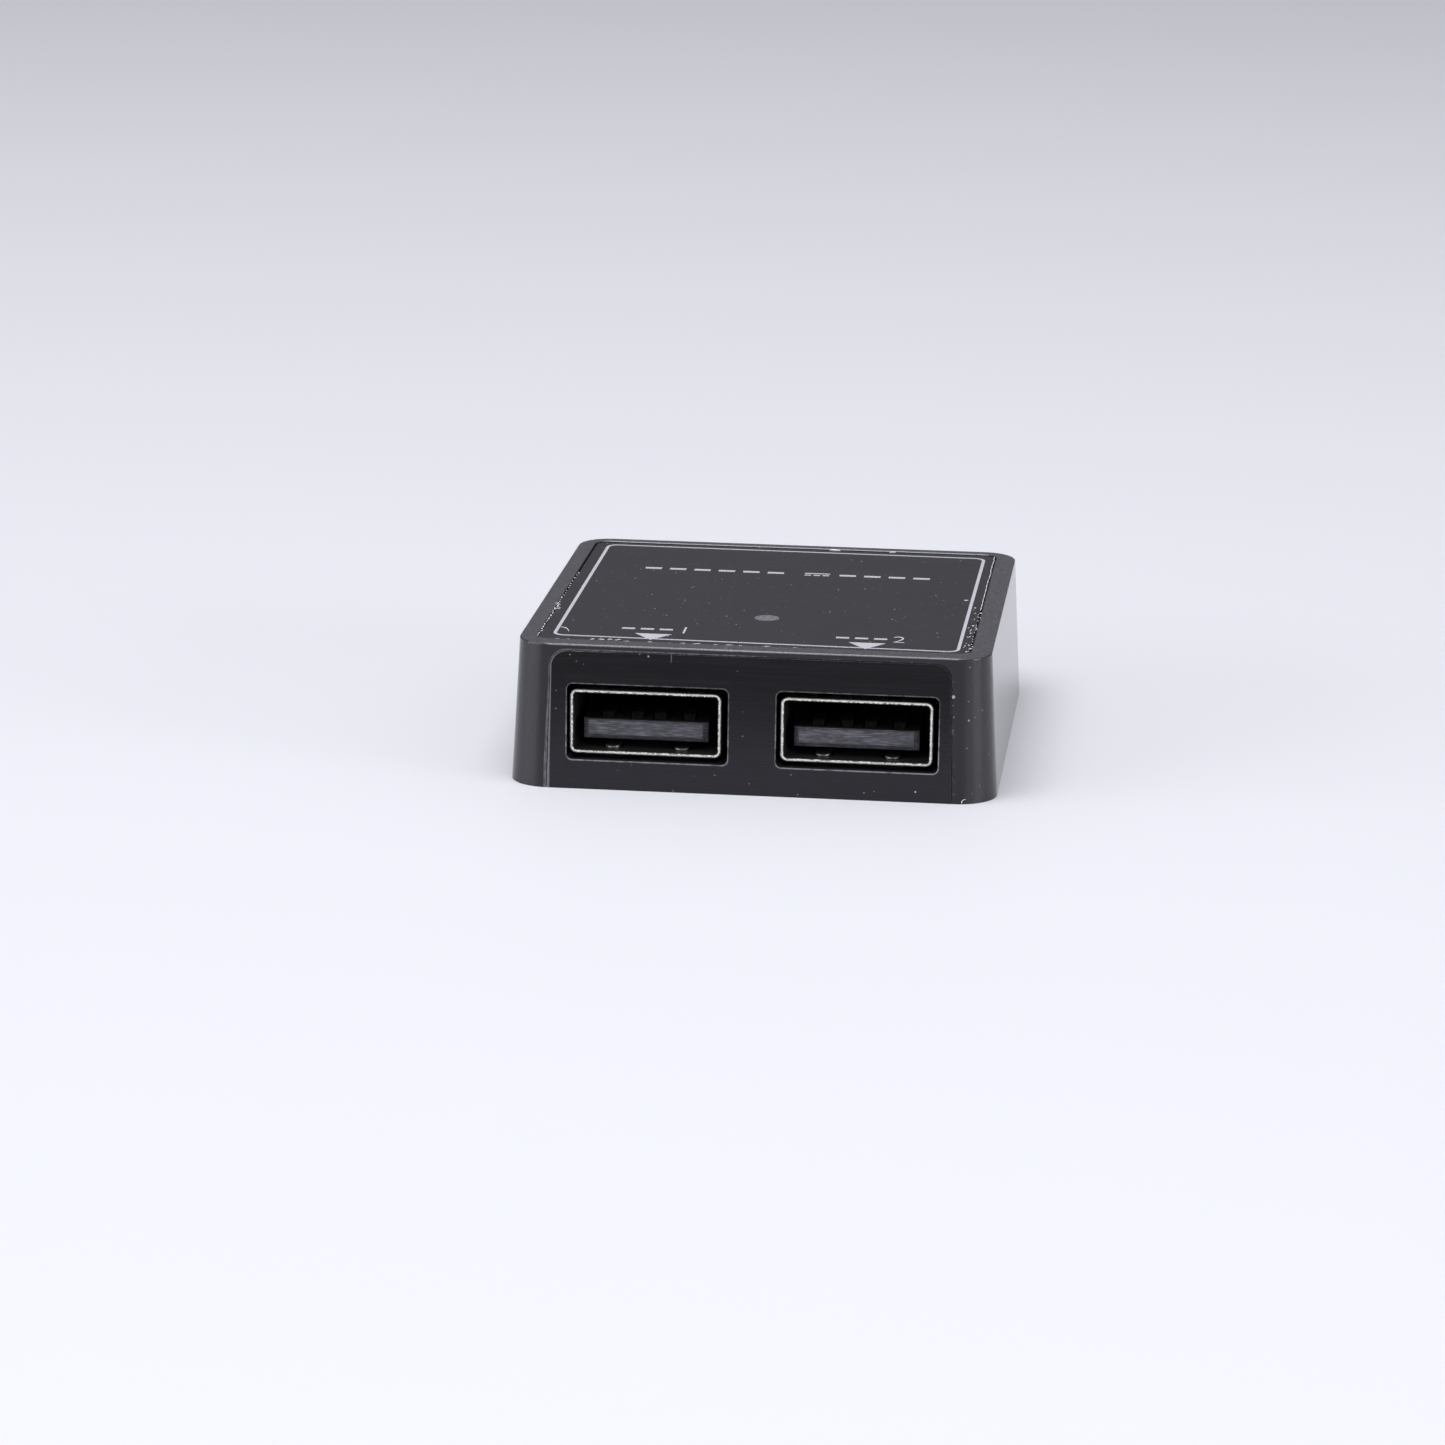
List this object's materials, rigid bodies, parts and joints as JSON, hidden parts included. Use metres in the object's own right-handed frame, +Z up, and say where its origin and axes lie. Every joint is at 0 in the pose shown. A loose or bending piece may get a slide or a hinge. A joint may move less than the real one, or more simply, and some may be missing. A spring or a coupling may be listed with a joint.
{
  "type": "desk usb power box",
  "caption": "Low square desk power box with USB-A charging ports in a flush front panel, a recessed top label and a pilot light.",
  "frame": {"origin": "middle of the square footprint, on the surface that the box stands on", "axes": "+X to the right seen from the front, +Y from the ports to the back, +Z up"},
  "size_m": [0.0422, 0.0426, 0.0127],
  "materials": {
    "case_plastic": "black ABS, fine spark-eroded texture",
    "panel_plastic": "black ABS, smooth satin",
    "base_plastic": "black ABS, moulded texture",
    "label_film": "black polycarbonate overlay, satin gloss, printed in silver",
    "light_pipe": "milky clear acrylic",
    "port_steel": "nickel-plated steel sheet",
    "port_insulator": "black glass-filled nylon",
    "contact_metal": "gold-flashed copper alloy",
    "board_laminate": "green solder resist on glass epoxy",
    "chip_epoxy": "black moulding compound",
    "ceramic_chip": "tan ceramic with tinned ends",
    "resistor_chip": "black glazed chip with tinned ends",
    "fuse_body": "green polymer chip with tinned ends",
    "capacitor_sleeve": "dark shrink sleeve over an aluminium can",
    "header_nylon": "natural white nylon",
    "tinned_pin": "tin plated",
    "lamp_resin": "clear resin over a white base",
    "grommet_rubber": "black moulded rubber",
    "pad_foam": "grey acrylic foam with adhesive on both faces",
    "screw_steel": "black-zinc steel"
  },
  "bodies": {
    "root": {"upper_case": "case_plastic", "front_panel": "panel_plastic", "base_plate": "base_plastic", "top_label": "label_film", "light_pipe": "light_pipe", "indicator_led": "lamp_resin", "circuit_board": "board_laminate", "charge_controller": "chip_epoxy", "smoothing_capacitor": "capacitor_sleeve", "ceramic_capacitors": "ceramic_chip", "chip_resistors": "resistor_chip", "resettable_fuse": "fuse_body", "supply_connector": "header_nylon", "connector_pins": "tinned_pin", "cable_grommet": "grommet_rubber", "mounting_pad": "pad_foam", "base_screws": "screw_steel", "board_screws": "screw_steel", "usb_shell_left": "port_steel", "usb_shell_right": "port_steel", "usb_insulator_left": "port_insulator", "usb_insulator_right": "port_insulator", "usb_contacts_left": "contact_metal", "usb_contacts_right": "contact_metal"}
  },
  "joints": []
}
